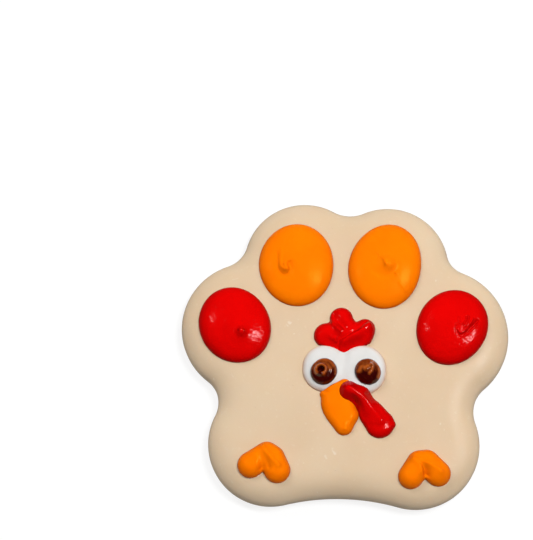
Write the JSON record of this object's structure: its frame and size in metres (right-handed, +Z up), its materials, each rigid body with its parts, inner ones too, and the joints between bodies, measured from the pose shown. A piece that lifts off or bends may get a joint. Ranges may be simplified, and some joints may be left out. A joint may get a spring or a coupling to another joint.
{
  "type": "decorated dog cookie",
  "caption": "Paw-shaped dog cookie: a thick biscuit in a smooth cream coating, with a bird's face, feet and round toe dots piped on it in coloured icing.",
  "frame": {"origin": "middle of the cookie's bounding box, on the surface that its flat underside lies on", "axes": "+Z up out of the decorated side, +Y from the heel of the paw towards its toes, +X to the right of the face as it is looked at"},
  "size_m": [0.1006, 0.0956, 0.0178],
  "materials": {
    "cream_coating": "satin cream coating, softly mottled",
    "red_icing": "smooth glossy red icing",
    "orange_icing": "smooth satin orange icing",
    "white_icing": "smooth satin white icing",
    "brown_icing": "glossy dark brown icing"
  },
  "bodies": {
    "root": {"coated_biscuit": "cream_coating", "dot_left": "red_icing", "dot_upper_left": "orange_icing", "dot_upper_right": "orange_icing", "dot_right": "red_icing", "comb": "red_icing", "eye_whites": "white_icing", "pupil_left": "brown_icing", "pupil_right": "brown_icing", "beak": "orange_icing", "wattle": "red_icing", "foot_left": "orange_icing", "foot_right": "orange_icing"}
  },
  "joints": []
}
